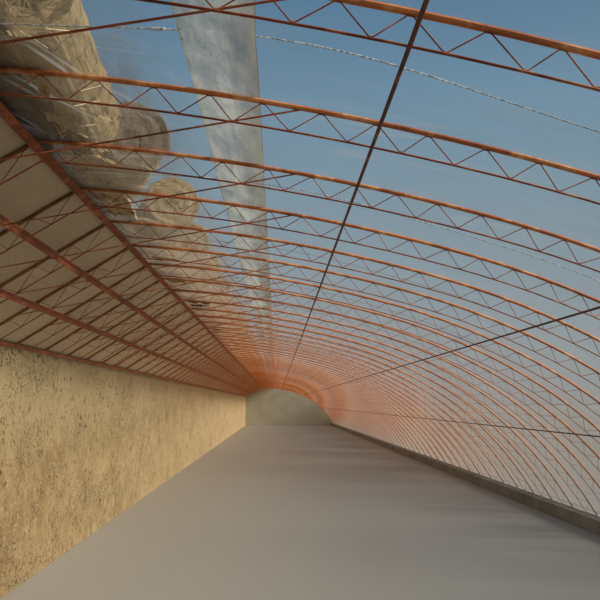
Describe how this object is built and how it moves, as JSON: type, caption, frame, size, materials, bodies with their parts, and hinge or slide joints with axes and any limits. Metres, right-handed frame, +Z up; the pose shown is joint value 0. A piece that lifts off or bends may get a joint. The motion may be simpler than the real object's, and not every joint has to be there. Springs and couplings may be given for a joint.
{
  "type": "half-size model of a solar greenhouse",
  "caption": "Long solar greenhouse at half size: earth wall, steel lattice arches, boarded rear roof and film skin, open inside, with rolled straw mats along the ridge.",
  "frame": {"origin": "centre of the footprint's bounding box at ground level", "axes": "+X along the house away from the doorway gable, +Y towards the earth wall, +Z up"},
  "size_m": [28.9, 4.6424, 1.9512],
  "materials": {
    "rammed_earth": "rough dry mud and straw",
    "earth_cover": "rough mud with chopped straw",
    "timber": "weathered sawn timber",
    "roof_board": "dull grey-green board",
    "concrete": "trowelled concrete",
    "truss_primer": "red-brown primer, satin",
    "angle_primer": "red-brown primer, satin",
    "purlin_red": "dark red primer, dull",
    "tie_steel": "dark brown paint, satin",
    "film": "clear creased plastic film",
    "vent_film": "milky doubled film",
    "straw": "rolled straw, coarse"
  },
  "bodies": {
    "root": {"north_wall": "rammed_earth", "east_gable_wall": "rammed_earth", "west_gable_north_pier": "rammed_earth", "west_gable_south_wall": "rammed_earth", "west_gable_over_door": "rammed_earth", "door_lintel": "timber", "door_lining": "timber", "film_foot_batten": "timber", "wall_top_plate": "angle_primer", "ridge_angle": "purlin_red", "mid_roof_purlin": "purlin_red", "lower_roof_purlin": "purlin_red", "south_sill_beam": "concrete", "rear_roof_boards_lower": "roof_board", "rear_roof_boards_upper": "roof_board", "rear_roof_earth_cover": "earth_cover", "upper_film": "film", "main_film": "film", "vent_film_band": "vent_film", "straw_mats": "straw", "arch_tie_upper": "tie_steel", "arch_tie_middle": "tie_steel", "arch_tie_lower": "tie_steel", "truss_group_01": "truss_primer", "truss_group_02": "truss_primer", "truss_group_03": "truss_primer", "truss_group_04": "truss_primer", "truss_group_05": "truss_primer", "truss_group_06": "truss_primer", "truss_group_07": "truss_primer", "truss_group_08": "truss_primer", "truss_group_09": "truss_primer", "truss_group_10": "truss_primer"}
  },
  "joints": []
}
